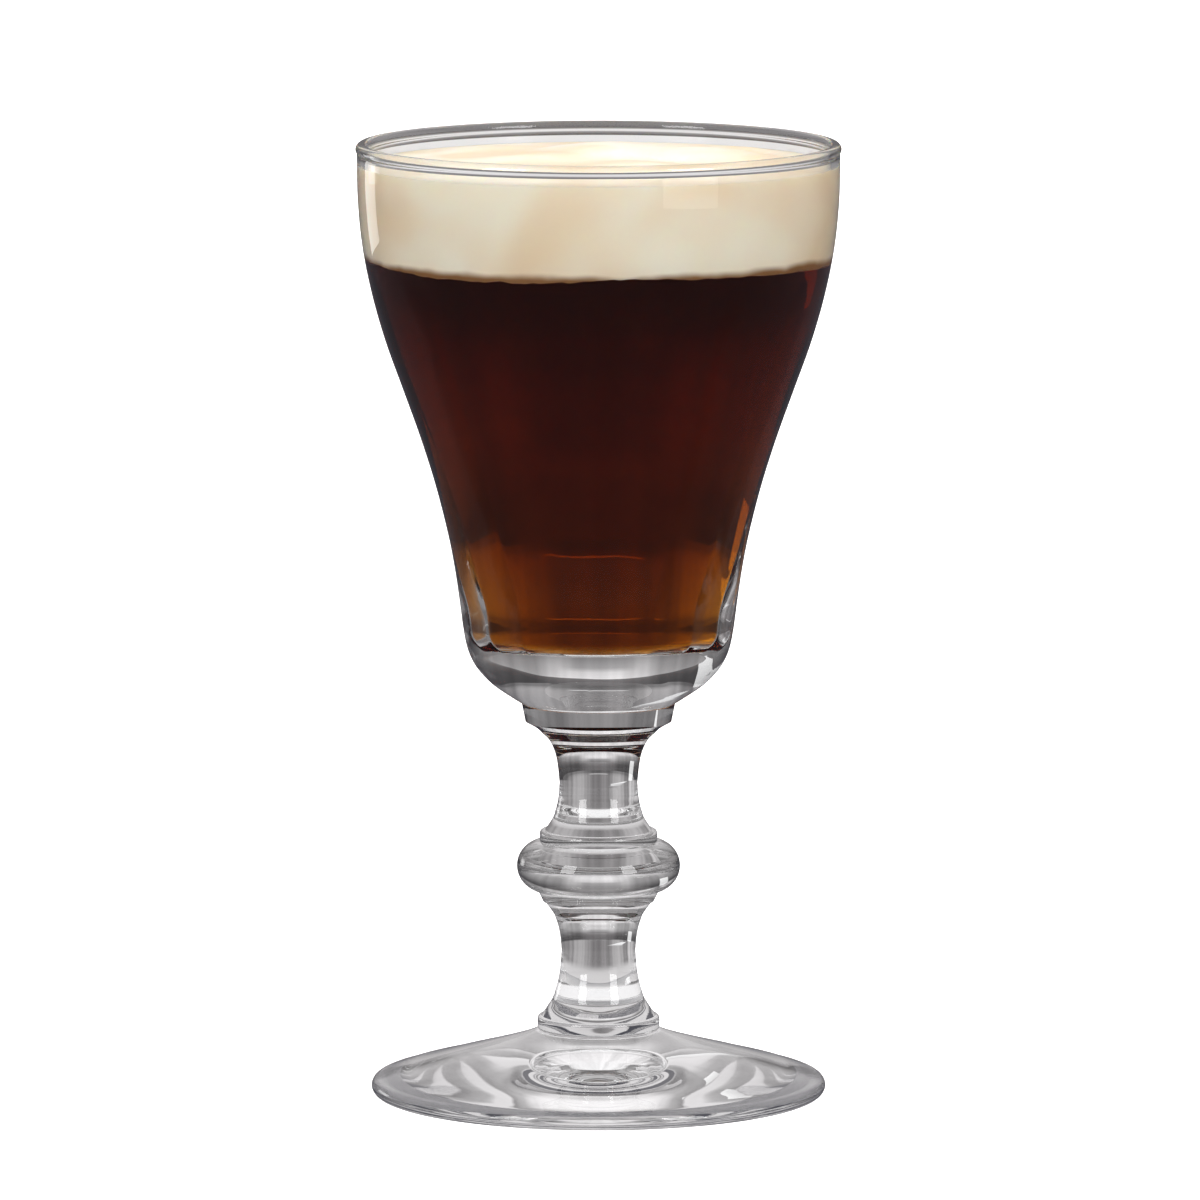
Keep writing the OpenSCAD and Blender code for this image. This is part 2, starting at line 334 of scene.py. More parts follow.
def whipped_cream():
    """Loosely whipped cream: warm ivory, soft blotches, browner where coffee seeps in."""
    made, tree, out = new_material("whipped_cream")
    place = add(tree, "ShaderNodeTexCoord")
    blotch = add(tree, "ShaderNodeTexNoise",
                 {"Scale": in_metre(BLOTCH_MM), "Detail": 1.5, "Roughness": 0.4, "Distortion": 0.4},
                 {"Vector": place.outputs["Object"]})
    patch = add(tree, "ShaderNodeMapRange", {"From Min": 0.34, "From Max": 0.6},
                {"Value": blotch.outputs["Fac"]})
    tone = add(tree, "ShaderNodeMix",
               {"data_type": "RGBA", 6: linear("#EEDCBD"), 7: linear("#FBF2DF")},
               {0: patch.outputs["Result"]})
    height = add(tree, "ShaderNodeSeparateXYZ", links={"Vector": place.outputs["Object"]})
    uneven = add(tree, "ShaderNodeTexNoise", {"Scale": in_metre(SEEP_MM), "Detail": 2.0},
                 {"Vector": place.outputs["Object"]})
    level = add(tree, "ShaderNodeMath", {"operation": "MULTIPLY_ADD", 1: -SEEP_H},
                {0: uneven.outputs["Fac"], 2: height.outputs["Z"]})
    clean = add(tree, "ShaderNodeMapRange",
                {"From Min": coffee_z - 0.0007, "From Max": coffee_z + 0.0006,
                 "interpolation_type": "SMOOTHSTEP"}, {"Value": level.outputs[0]})
    stain = add(tree, "ShaderNodeMix", {"data_type": "RGBA", 6: linear("#8A6238")},
                {0: clean.outputs["Result"], 7: tone.outputs[2]})
    shader = add(tree, "ShaderNodeBsdfPrincipled",
                 {"Roughness": 0.45, "IOR": 1.35, "Subsurface Weight": 0.6,
                  "Subsurface Radius": (1.0, 0.75, 0.45), "Subsurface Scale": 0.003},
                 {"Base Color": stain.outputs[2]})
    tree.links.new(shader.outputs["BSDF"], out.inputs["Surface"])
    return made


cream_material = whipped_cream()

# %% [markdown]
# ## The foot
# The foot is a pressed cone with a rounded edge, hollowed a little underneath so that it
# stands on a ring and never rocks. A cone primitive would have a hard edge and a flat
# base, so the whole section is drawn: hollow, edge and sloping top, and then turned. Its
# level top face is fused to the merese above it.

# %% Foot outline
foot_edge_r = 0.00125
foot_stand_w = 0.004
foot_kick_h = 0.0016
foot_r = radius("foot")
foot_h = high("foot")
foot_merese_r = radius("foot_merese")
edge_x = foot_r - foot_edge_r
foot_top_shares = [(0, 0), (0.12, 0.15), (0.26, 0.295), (0.43, 0.455), (0.59, 0.597),
                   (0.745, 0.742), (0.88, 0.862), (1, 1)]
foot_top = smooth([(foot_merese_r + out * (edge_x - foot_merese_r),
                    foot_h - down * (foot_h - 2 * foot_edge_r)) for out, down in foot_top_shares])
KICK_STEPS = 24
stand_r = edge_x - foot_stand_w
kick = [(stand_r * i / KICK_STEPS, foot_kick_h * (1 - (i / KICK_STEPS) ** 2))
        for i in range(KICK_STEPS + 1)]
foot_outline = (kick + arc(edge_x, foot_edge_r, foot_edge_r, -90, 90)
                + foot_top[-2::-1] + [(0, foot_h)])
print("foot outline", len(foot_outline), "points, stands on a ring from radius", round(stand_r, 4))

# %% Foot
LEVEL = 1e-6


def joint_within(*seats):
    """Picks the fused joint for level faces inside the radius of a seat at that height."""
    def choose(centre):
        return int(any(abs(centre.z - z) < LEVEL and math.hypot(centre.x, centre.y) < r
                       for z, r in seats))
    return choose


piece(turned(foot_outline), "foot_glass", "foot", GLASS,
      joint_within((foot_h, foot_merese_r)))

# %% [markdown]
# ## The merese on the foot
# A merese is a thin flat ring of glass between two parts of a stem. It is one more
# turned outline, with an arc on both of its edges, and seats for its neighbours.

# %% Merese on the foot
merese_edge = 0.0005
lower_stem_z = high("foot_merese")
lower_foot_r = 0.00865


def ring_side(r, z, height, low_edge, high_edge):
    """A ring's side from its lower face up, with rounded edges."""
    lower = arc(r - low_edge, z + low_edge, low_edge, -90, 0, 6) if low_edge else [(r, z)]
    return lower + arc(r - high_edge, z + height - high_edge, high_edge, 0, 90, 6)


merese_outline = ([(0, foot_h)]
                  + ring_side(foot_merese_r, foot_h, lower_stem_z - foot_h, merese_edge, merese_edge)
                  + [(lower_foot_r, lower_stem_z), (0, lower_stem_z)])
piece(turned(merese_outline), "foot_merese_glass", "foot_merese", GLASS,
      joint_within((foot_h, foot_merese_r), (lower_stem_z, lower_foot_r)))

# %% [markdown]
# ## The lower stem
# The stem draws in to a waist and flares out again at both ends. An hourglass of two
# arcs would look stiff, so each half follows a list of shares, slow at the waist and
# quick at the end, as pulled glass does.

# %% Lower stem
cove_shares = [(0, 0), (0.25, 0.06), (0.45, 0.16), (0.6, 0.29), (0.73, 0.43), (0.84, 0.64),
               (0.92, 0.81), (1, 1)]
knop_z = low("knop")
lower_waist_r = 0.0056
lower_waist_h = 0.0099
lower_waist_z = lower_stem_z + lower_waist_h
lower_top_r = 0.0082
lower_outline = ([(0, lower_stem_z)]
                 + sweep(lower_waist_r, lower_waist_z, lower_foot_r, lower_stem_z, cove_shares)[::-1]
                 + sweep(lower_waist_r, lower_waist_z, lower_top_r, knop_z, cove_shares)[1:]
                 + [(0, knop_z)])
piece(turned(lower_outline), "lower_stem_glass", "lower_stem", GLASS,
      joint_within((lower_stem_z, lower_foot_r), (knop_z, lower_top_r)))

# %% [markdown]
# ## The knop
# The knop is the bulge that fingers rest against, held between two rings. Its side is
# one arc. The angles at which the arc meets the rings come from the rings' radii, so the
# outline has no step.

# %% Knop between its rings
upper_stem_z = high("knop")
upper_foot_r = 0.00805
knop_ring_r = 0.0089
knop_ring_edge = 0.0006
knop_low_ring_r = 0.0092
knop_low_ring_h = 0.0016
knop_low_foot_r = 0.0084
bulb_r = 0.0038
bulb_x = radius("knop") - bulb_r
bulb_z = knop_z + knop_low_ring_h + bulb_r
low_meet = -math.degrees(math.acos((knop_low_ring_r - bulb_x) / bulb_r))
high_meet = math.degrees(math.acos((knop_ring_r - bulb_x) / bulb_r))
ring_z = bulb_z + bulb_r * math.sin(math.radians(high_meet))
knop_outline = ([(0, knop_z), (lower_top_r, knop_z), (knop_low_foot_r, knop_z)]
                + arc(bulb_x, bulb_z, bulb_r, low_meet, high_meet, 36)
                + ring_side(knop_ring_r, ring_z, upper_stem_z - ring_z, 0, knop_ring_edge)[1:]
                + [(upper_foot_r, upper_stem_z), (0, upper_stem_z)])
piece(turned(knop_outline), "knop_glass", "knop", GLASS,
      joint_within((knop_z, lower_top_r), (upper_stem_z, upper_foot_r)))

# %% [markdown]
# ## The upper stem
# It is made as the lower one, but its upper end sweeps out more boldly to carry the
# bowl, so that half has a list of shares of its own.

# %% Upper stem
bold_cove_shares = [(0, 0), (0.25, 0.045), (0.45, 0.11), (0.6, 0.21), (0.72, 0.34),
                    (0.82, 0.53), (0.91, 0.71), (1, 1)]
bowl_merese_z = low("bowl_merese")
upper_top_r = 0.01105
upper_waist_r = 0.0059
upper_waist_h = 0.0072
upper_waist_z = upper_stem_z + upper_waist_h
upper_outline = ([(0, upper_stem_z)]
                 + sweep(upper_waist_r, upper_waist_z, upper_foot_r, upper_stem_z, cove_shares)[::-1]
                 + sweep(upper_waist_r, upper_waist_z, upper_top_r, bowl_merese_z,
                         bold_cove_shares)[1:]
                 + [(0, bowl_merese_z)])
piece(turned(upper_outline), "upper_stem_glass", "upper_stem", GLASS,
      joint_within((upper_stem_z, upper_foot_r), (bowl_merese_z, upper_top_r)))

# %% [markdown]
# ## The bowl's wall
# The wall is drawn as rows of height, outer radius and thickness, thick at the heel and
# thin under the rolled rim. A surface with a Solidify modifier would have one thickness
# all over, and here the change of thickness is what bends the light.

# %% Wall rows
wall_t = 0.0014
rim_swell = 0.0004
heel_extra_t = 0.0052
wall_r = rim_r - rim_swell / 2
bead_r = (wall_t + rim_swell) / 2
bead_x = rim_r - bead_r
bead_turn = math.degrees(math.acos(wall_t / (wall_t + rim_swell)))
bead_z = rim_z - bead_r
wall_top_z = bead_z - bead_r * math.sin(math.radians(bead_turn))
bowl_shares = [
    (0.000, 0.3160, 0.92), (0.016, 0.3740, 0.92), (0.036, 0.4400, 0.92), (0.057, 0.4890, 0.92),
    (0.078, 0.5230, 0.92), (0.104, 0.5470, 0.95), (0.140, 0.5630, 1.00), (0.188, 0.5775, 1.00),
    (0.247, 0.5975, 0.81), (0.311, 0.6260, 0.62), (0.398, 0.6765, 0.46), (0.485, 0.7390, 0.31),
    (0.572, 0.8105, 0.19), (0.660, 0.8830, 0.10), (0.747, 0.9395, 0.06), (0.834, 0.9785, 0.02),
    (0.920, 0.9970, 0.00), (1.000, 1.0000, 0.00)]
wall_rows = smooth([(bowl_z + up * (wall_top_z - bowl_z), out * wall_r, wall_t + extra * heel_extra_t)
                    for up, out, extra in bowl_shares])
row_heights = [z for z, _, _ in wall_rows]
print("wall rows", len(wall_rows), "thickest", round(max(t for _, _, t in wall_rows), 5))

# %% Wall at any height
def wall_at(z):
    """Outer and inner radius of the wall at a height."""
    i = min(max(bisect.bisect_left(row_heights, z), 1), len(wall_rows) - 1)
    (z0, r0, t0), (z1, r1, t1) = wall_rows[i - 1], wall_rows[i]
    share = min((z - z0) / (z1 - z0), 1)
    outer = r0 + share * (r1 - r0)
    return outer, outer - (t0 + share * (t1 - t0))


floor_corner_r = 0.0025
drink_gap = 0.00002
corner_z = floor_z - drink_gap + floor_corner_r
corner_r = wall_at(corner_z)[1]


def cavity_side(gap, to_z):
    """Inner outline from the floor's rounded corner up, gap inside the glass."""
    corner = arc(corner_r - floor_corner_r, corner_z, floor_corner_r - gap, -90, 0)
    heights = [z for z, _, _ in wall_rows if corner_z + drink_gap < z < to_z - drink_gap]
    return corner + [(wall_at(z)[1] - gap, z) for z in heights + [to_z]]


print("the floor's corner ends", round(corner_r, 5), "from the axis")

# %% [markdown]
# ## The flat panels inside
# The mould's plunger pressed fourteen flat panels into the inner wall, with soft ridges
# between them and an arch over each. Cutting them with booleans would leave long thin
# faces that shade badly. Instead every vertex of the inner wall is drawn in to the
# nearest flat, and where two flats meet a soft minimum rounds the ridge.

# %% Panels
panel_top_z = bowl_z + 0.067
panel_arch_h = 0.009
panel_arch_z = panel_top_z - panel_arch_h
panel_ridge_t = 0.0001
panel_turn = math.radians(6)
panel_step = math.tau / panel_count
panel_share = math.cos(panel_step / 2) * (1 - panel_ridge_t / corner_r)
arch_start_r = panel_share * wall_at(panel_arch_z)[1]
arch_slope = (wall_at(panel_top_z)[1] - arch_start_r) / (panel_top_z - panel_arch_z)
RIDGE_SOFTNESS = 0.00004


def panelled(bm, gap, inside):
    """Draws the inner wall's vertices in to the flat panels, with soft ridges."""
    for vert in bm.verts:
        x, y, z = vert.co
        r = math.hypot(x, y)
        if r < MERGE or not inside(r, z):
            continue
        flat = panel_share * r if z < panel_arch_z else (
            arch_start_r - gap + arch_slope * (z - panel_arch_z))
        turn = (math.atan2(y, x) + math.pi / 2 - panel_turn) % panel_step - panel_step / 2
        limits = [r] + [flat / math.cos(turn + k * panel_step) for k in (-1, 0, 1)]
        nearest = min(limits)
        soft = RIDGE_SOFTNESS * min(1, r / corner_r)
        total = sum(math.exp((nearest - limit) / soft) for limit in limits)
        share = (nearest - soft * math.log(total)) / r
        vert.co.x, vert.co.y = x * share, y * share


print("a panel is", round(2 * corner_r * math.tan(panel_step / 2), 5), "wide at the floor")

# %% [markdown]
# ## The bowl in one piece
# The outline runs up the outside, over the rolled rim and down the inside to the middle
# of the floor, and is turned and then panelled. Each face gets one of three materials:
# the base is a fused joint, the inner wall up to the cream is wet, and the rest meets air.

# %% Where a face of the bowl lies
cream_drop = 0.0032
cream_z = rim_z - cream_drop
bowl_floor_z = corner_z - floor_corner_r


def is_inner(r, z):
    """True on the wall's inner side and the floor."""
    outer, inner = wall_at(z)
    return z > bowl_floor_z - MERGE and r < (outer + inner) / 2 and z < wall_top_z


def wet(centre):
    """Glass, fused joint or wetted wall, by where the face lies."""
    if abs(centre.z - bowl_z) < LEVEL:
        return 1
    return 2 if is_inner(math.hypot(centre.x, centre.y), centre.z) and centre.z < cream_z else 0


print("the wall is wet from", round(bowl_floor_z, 5), "to", round(cream_z, 5))

# %% Bowl
bead = arc(bead_x, bead_z, bead_r, -bead_turn, 180 + bead_turn, 24)
dry_wall = [(wall_at(z)[1], z) for z, _, _ in wall_rows
            if cream_z + drink_gap < z < wall_top_z - drink_gap]
inner_side = cavity_side(0, cream_z) + dry_wall
bowl_outline = ([(0, bowl_z)] + [(r, z) for z, r, _ in wall_rows[:-1]] + bead
                + inner_side[::-1] + [(0, bowl_floor_z)])
bowl = turned(bowl_outline, start=-math.pi / 2 + panel_turn)
panelled(bowl, 0, is_inner)
piece(bowl, "bowl_glass", "bowl", GLASS + [wetted_glass], wet)

# %% [markdown]
# ## The merese under the bowl
# A plain disc, a little narrower below than above. Its sharp edges are real: they are
# where the mould's halves met.

# %% Merese under the bowl
seat_r = wall_rows[0][1]
merese_top_r = radius("bowl_merese")
bowl_merese_outline = [(0, bowl_merese_z), (upper_top_r, bowl_merese_z),
                       (merese_top_r, bowl_z), (seat_r, bowl_z), (0, bowl_z)]
piece(turned(bowl_merese_outline), "bowl_merese_glass", "bowl_merese", GLASS,
      joint_within((bowl_merese_z, upper_top_r), (bowl_z, seat_r)))

# %% [markdown]
# ## Where coffee and cream meet
# Cream floats on coffee, and the line between them is never level: it kinks at each of
# the glass's ridges and is crumbly in between. One function gives its height in any
# direction, and both pieces use it, so that they meet along the same line.

# %% Uneven line
WAVE_H = 0.0009
RIDGE_SPACING = 3.7
CRUMB_SCALE = 20
CRUMB_SHARE = 0.35
ridge_lifts = [noise.noise((k * RIDGE_SPACING, 1.3, 0.2)) for k in range(panel_count)]


def waver(x, y):
    """How far the line between coffee and cream strays from level, with a kink at each ridge."""
    r = max(math.hypot(x, y), MERGE)
    turn = (math.atan2(y, x) + math.pi / 2 - panel_turn) / panel_step % panel_count
    k = int(turn)
    here, there = ridge_lifts[k % panel_count], ridge_lifts[(k + 1) % panel_count]
    crumb = noise.noise((CRUMB_SCALE * x / r, CRUMB_SCALE * y / r, 0.7)) * CRUMB_SHARE
    return WAVE_H * (here + (there - here) * (turn - k) + crumb) * min(1, r / corner_r)


print("ridges move the line by up to", round(max(abs(lift) for lift in ridge_lifts) * WAVE_H, 5))

# %% [markdown]
# ## The coffee
# A liquid has its vessel's shape. The coffee is turned from the bowl's inner outline and
# panelled by the same function, a hair's breadth off the glass, so that no two surfaces
# lie in one place. Its lid has rings of vertices for the uneven line.

# %% Coffee
LID_RINGS = 12
coffee_side = cavity_side(drink_gap, coffee_z)
lid = [(coffee_side[-1][0] * i / LID_RINGS, coffee_z) for i in range(LID_RINGS - 1, -1, -1)]
coffee = turned([(0, floor_z)] + coffee_side + lid, start=-math.pi / 2 + panel_turn)
panelled(coffee, drink_gap, lambda r, z: z < panel_top_z + drink_gap)
for vert in coffee.verts:
    if vert.co.z > coffee_z - LEVEL:
        vert.co.z += waver(vert.co.x, vert.co.y) - drink_gap
piece(coffee, "coffee_fill", "coffee", [coffee_material])

# %% [markdown]
# ## The cream's top
# Cream is spooned on, and it settles in overlapping mounds. Each mound is a cap given as
# its place, its radius and its height. Their soft maximum joins them without creases,
# and two sizes of noise add the folds that the spoon leaves. A displaced grid could do
# this too, but rings on the lathe keep the rim's circle exact.

# %% Height of the cream's surface
crown_h = 0.0014
mound_shares = [
    (0.05, 0.25, 0.50, 1.75), (0.42, 0.10, 0.42, 1.60), (-0.22, 0.02, 0.40, 1.35),
    (0.18, -0.36, 0.40, 1.20), (-0.50, -0.42, 0.30, 0.95), (-0.40, 0.50, 0.32, 0.90),
    (0.55, 0.48, 0.25, 0.85)]
cream_r = wall_at(cream_z)[1] - drink_gap
MOUND_SOFTNESS = 0.00012
FOLD_H = 0.00022
FOLD_SCALE = 110
CREASE_H = 0.00006
CREASE_SCALE = 320


def cream_top(x, y):
    """Height of the cream's surface above its edge."""
    r2 = (x * x + y * y) / cream_r ** 2
    caps = [crown_h * max(0, 1 - r2)]
    for cx, cy, r, top in mound_shares:
        away = ((x / cream_r - cx) ** 2 + (y / cream_r - cy) ** 2) / r ** 2
        caps.append(top * crown_h * max(0, 1 - away))
    peak = max(caps)
    total = sum(math.exp((c - peak) / MOUND_SOFTNESS) for c in caps)
    lift = peak + MOUND_SOFTNESS * math.log(total / len(caps))
    fold = (noise.noise((x * FOLD_SCALE, y * FOLD_SCALE, 3)) * FOLD_H
            + noise.noise((x * CREASE_SCALE, y * CREASE_SCALE, 9)) * CREASE_H)
    return max(0, lift + fold * min(1, 6 * (1 - r2)))


print("cream stands", round(cream_top(0.05 * cream_r, 0.25 * cream_r), 5), "over its edge")

# %% Cream
TOP_RINGS = 90
CLEAR_OF_LINE = 0.001
heights = [z for z, _, _ in wall_rows if coffee_z + CLEAR_OF_LINE < z < cream_z - drink_gap]
cream_side = [(wall_at(z)[1] - drink_gap, z) for z in [coffee_z] + heights + [cream_z]]
crown = [(cream_r * i / TOP_RINGS, cream_z) for i in range(TOP_RINGS - 1, -1, -1)]
cream = turned([(0, coffee_z)] + cream_side + crown)
for vert in cream.verts:
    if vert.co.z > cream_z - LEVEL:
        vert.co.z += cream_top(vert.co.x, vert.co.y)
    elif vert.co.z < coffee_z + LEVEL:
        vert.co.z += waver(vert.co.x, vert.co.y)
piece(cream, "cream_cap", "cream", [cream_material])

# %% [markdown]
# ## The camera
# The photograph was taken from a little above the rim with a long lens. The ellipses of
# the rim and the foot give the camera's height, and the slight narrowing downwards gives
# its distance.

# %% Camera
CAMERA_DISTANCE = 1.82302
CAMERA_HEIGHT = 0.32064
CAMERA_PITCH = 0.1338
LENS_MM = 365.87
SENSOR_MM = 36.0
SIDE_SHIFT = 0.00125
NEAREST_SEEN = 0.05
camera_data = bpy.data.cameras.new("camera")
camera_data.sensor_width = SENSOR_MM
camera_data.lens = LENS_MM
camera_data.shift_x = SIDE_SHIFT
camera_data.clip_start = NEAREST_SEEN
camera = bpy.data.objects.new("camera", camera_data)
camera.location = (0, -CAMERA_DISTANCE, CAMERA_HEIGHT)
camera.rotation_euler = (math.pi / 2 - CAMERA_PITCH, 0, 0)
bpy.context.scene.collection.objects.link(camera)
bpy.context.scene.camera = camera
print("camera looks", round(math.degrees(CAMERA_PITCH), 1), "degrees down")

# %% [markdown]
# ## The studio floor
# A clear glass shows what lies behind and around it. In an all-white studio it would
# vanish, so a photographer puts grey cards and dark cloth out of sight, and the glass
# picks up their edges. Here the floor does both jobs. The camera sees it pure white. Light
# that has come through the glass sees greys that change with direction and distance, and
# light mirrored by the glass sees a dark floor. Those greys are the floor's own glow: they
# stand for the cards and cloth, and they also paint the shade where the floor darkens with
# distance and the light that the foot gathers near the stem.

# %% Floor mesh
FLOOR_SIZE = 12.0
grid = bmesh.new()
bmesh.ops.create_grid(grid, x_segments=1, y_segments=1, size=FLOOR_SIZE / 2)
floor_mesh = bpy.data.meshes.new("studio_floor")
grid.to_mesh(floor_mesh)
grid.free()
floor = bpy.data.objects.new("studio_floor", floor_mesh)
bpy.context.scene.collection.objects.link(floor)
print("floor", FLOOR_SIZE, "m square")

# %% Direction and distance of a point on the floor
floor_material, tree, out = new_material("white_studio_floor")
place = add(tree, "ShaderNodeTexCoord").outputs["Object"]
spot = add(tree, "ShaderNodeSeparateXYZ", links={"Vector": place})
azimuth = add(tree, "ShaderNodeMath", {"operation": "ARCTAN2"},
              {0: spot.outputs["X"], 1: spot.outputs["Y"]}).outputs[0]
distance = add(tree, "ShaderNodeVectorMath", {"operation": "LENGTH"}, {0: place}).outputs["Value"]


def set_stops(ramp, stops):
    """Fills a colour ramp with stops of share and colour."""
    marks = ramp.color_ramp.elements
    for mark, (share, colour) in ((marks[0], stops[0]), (marks[1], stops[-1])):
        mark.position, mark.color = share, linear(colour)
    for share, colour in stops[1:-1]:
        marks.new(share).color = linear(colour)


# %% [markdown]
# ### Far floor
# Seen through the stem, the floor is dark straight behind the glass and paler to both
# sides of that, and it darkens with distance. A colour ramp over the azimuth gives the
# greys. A noise on the level direction adds the upright streaks that a room's furniture
# and shadows leave in glass. It is laid on the direction and not on the angle, because
# an angle would jump at the seam.

# %% Streaks of the room
STREAK_SCALE = 7.0


def room_streaks(tree, direction, weakest, strongest):
    """Strength of upright streaks, by level direction from the glass."""
    level = add(tree, "ShaderNodeVectorMath", {"operation": "MULTIPLY", 1: (1, 1, 0)}, {0: direction})
    heading = add(tree, "ShaderNodeVectorMath", {"operation": "NORMALIZE"},
                  {0: level.outputs["Vector"]})
    streaks = add(tree, "ShaderNodeTexNoise",
                  {"Scale": STREAK_SCALE, "Detail": 2.0, "Roughness": 0.6},
                  {"Vector": heading.outputs["Vector"]})
    strength = add(tree, "ShaderNodeMapRange",
                   {"From Min": 0.35, "From Max": 0.65, "To Min": weakest, "To Max": strongest,
                    "clamp": False}, {"Value": streaks.outputs["Fac"]})
    return strength.outputs["Result"]


# %% Greys of the far floor
GREYS_BY_AZIMUTH = [
    (-90, "#8B8889"), (-64, "#AFACAD"), (-54, "#CDCACB"), (-43, "#CDCACB"), (-38, "#979495"),
    (-28, "#A4A1A2"), (-20, "#ACA9AA"), (-13, "#979495"), (-6, "#838081"), (0, "#787576"),
    (6, "#838081"), (13, "#A9A6A7"), (20, "#AFACAD"), (28, "#A09D9E"), (40, "#8F8C8D"),
    (60, "#979495"), (90, "#8B8889")]
turn_share = add(tree, "ShaderNodeMapRange", {"From Min": -math.pi, "From Max": math.pi},
                 {"Value": azimuth})
around = add(tree, "ShaderNodeValToRGB", links={"Fac": turn_share.outputs["Result"]})
set_stops(around, [(0.5 + turn / 360, colour) for turn, colour in GREYS_BY_AZIMUTH])
# Painted shade: the floor's glow halves between 1.2 and 2.4 m, where the light falls off.
painted_falloff_shade = add(tree, "ShaderNodeMapRange",
           {"From Min": 1.2, "From Max": 2.4, "To Min": 1.0, "To Max": 0.5}, {"Value": distance})
strength = add(tree, "ShaderNodeMath", {"operation": "MULTIPLY"},
               {0: room_streaks(tree, place, 0.7, 1.3), 1: painted_falloff_shade.outputs["Result"]})
far_floor = add(tree, "ShaderNodeVectorMath", {"operation": "SCALE"},
                {0: around.outputs["Color"], "Scale": strength.outputs[0]})
print("greys of the far floor", len(GREYS_BY_AZIMUTH))

# %% [markdown]
# ### Floor under the foot
# Close to the stem the floor is almost white, because the foot gathers light there. It
# turns grey towards the foot's edge, and blends into the far floor beyond it.

# %% Near floor
NEAR_SCALE = 0.1
NEAR_GREYS = [(0, "#FFFEFF"), (0.16, "#FFFCFD"), (0.23, "#E3E0E1"), (0.6, "#D0CDCE"), (1, "#BEBBBC")]
NEAR_END = 0.055
FAR_START = 0.075
reach = add(tree, "ShaderNodeMapRange", {"From Min": 0.0, "From Max": NEAR_SCALE},
            {"Value": distance})
near_floor = add(tree, "ShaderNodeValToRGB", links={"Fac": reach.outputs["Result"]})
set_stops(near_floor, NEAR_GREYS)
leave = add(tree, "ShaderNodeMapRange",
            {"From Min": NEAR_END, "From Max": FAR_START, "interpolation_type": "SMOOTHSTEP"},
            {"Value": distance})
ground = add(tree, "ShaderNodeMix", {"data_type": "RGBA"},
             {0: leave.outputs["Result"], 6: near_floor.outputs["Color"],
              7: far_floor.outputs["Vector"]})
print("the near floor ends", NEAR_END, "m from the axis")

# %% [markdown]
# ### Two white cards
# One card lies far behind the glass, and shows as the pale inside of the rim. A long
# narrow one lies to the left behind it, and shows as the amber stripe along the coffee's
# right edge. Each is a patch where two spans meet.

# %% Cards on the floor
def span(value, start, end, soft):
    """1 where the value lies between start and end, fading to 0 over soft on both sides."""
    rise = add(tree, "ShaderNodeMapRange", {"From Min": start - soft, "From Max": start},
               {"Value": value})
    fall = add(tree, "ShaderNodeMapRange",
               {"From Min": end, "From Max": end + soft, "To Min": 1.0, "To Max": 0.0},
               {"Value": value})
    return add(tree, "ShaderNodeMath", {"operation": "MULTIPLY"},
               {0: rise.outputs["Result"], 1: fall.outputs["Result"]}).outputs[0]


def card(below, colour, one_way, other_way):
    """A card lying on what is below it, where both spans meet."""
    where = add(tree, "ShaderNodeMath", {"operation": "MULTIPLY"}, {0: one_way, 1: other_way})
    return add(tree, "ShaderNodeMix", {"data_type": "RGBA", 7: linear(colour)},
               {0: where.outputs[0], 6: below}).outputs[2]


back_card = card(ground.outputs[2], "#EBE9EA", span(distance, 1.5, 1.56, 0.06),
                 span(azimuth, -0.13, 0.13, 0.045))
across = add(tree, "ShaderNodeVectorMath", {"operation": "DOT_PRODUCT", 1: (1.0, 0.96, 0.0)},
             {0: place})
both_cards = card(back_card, "#FFFEFF", span(across.outputs["Value"], 0.15, 0.25, 0.01),
                  span(spot.outputs["Y"], 0.36, 0.58, 0.05))

# %% [markdown]
# ### Which floor a ray sees
# Light Path tells what a ray has been through. Is Transmission Ray also holds for light
# that the cream has scattered on its way, and that light should find a white floor, so
# only rays with no diffuse bounce count as seeing through the glass.

# %% Floor for the camera, through the glass and in reflections
path = add(tree, "ShaderNodeLightPath")
not_scattered = add(tree, "ShaderNodeMath", {"operation": "LESS_THAN", 1: 0.5},
                    {0: path.outputs["Diffuse Depth"]})
seen_through = add(tree, "ShaderNodeMath", {"operation": "MULTIPLY"},
                   {0: path.outputs["Is Transmission Ray"], 1: not_scattered.outputs[0]})
mirrored = add(tree, "ShaderNodeMath", {"operation": "MULTIPLY"},
               {0: path.outputs["Is Glossy Ray"], 1: path.outputs["Is Reflection Ray"]})
paint = add(tree, "ShaderNodeBsdfDiffuse", {"Color": linear("#E0E0E2")})
white = add(tree, "ShaderNodeEmission", {"Color": linear("#FFFFFF")},
            {"Strength": path.outputs["Is Camera Ray"]})
open_floor = add(tree, "ShaderNodeAddShader", links={0: paint.outputs[0], 1: white.outputs[0]})
grey_floor = add(tree, "ShaderNodeEmission", {"Strength": 1.0}, {"Color": both_cards})
dark_floor = add(tree, "ShaderNodeEmission", {"Color": linear("#585860"), "Strength": 0.8})
by_glass = add(tree, "ShaderNodeMixShader",
               links={0: seen_through.outputs[0], 1: open_floor.outputs[0], 2: grey_floor.outputs[0]})
by_mirror = add(tree, "ShaderNodeMixShader",
                links={0: mirrored.outputs[0], 1: by_glass.outputs[0], 2: dark_floor.outputs[0]})
tree.links.new(by_mirror.outputs[0], out.inputs["Surface"])
floor.data.materials.append(floor_material)
print("floor material has", len(tree.nodes), "nodes")

# %% [markdown]
# ## The world
# The world is the studio's walls and ceiling. The camera sees it white. The glass sees a
# grey horizon that brightens upwards, darker sides, low dark furniture to the left and
# right, and a dark cloth hung straight behind. A picture of a real room could stand here,
# but a few greys are enough, and each can be set against one place in the glass.

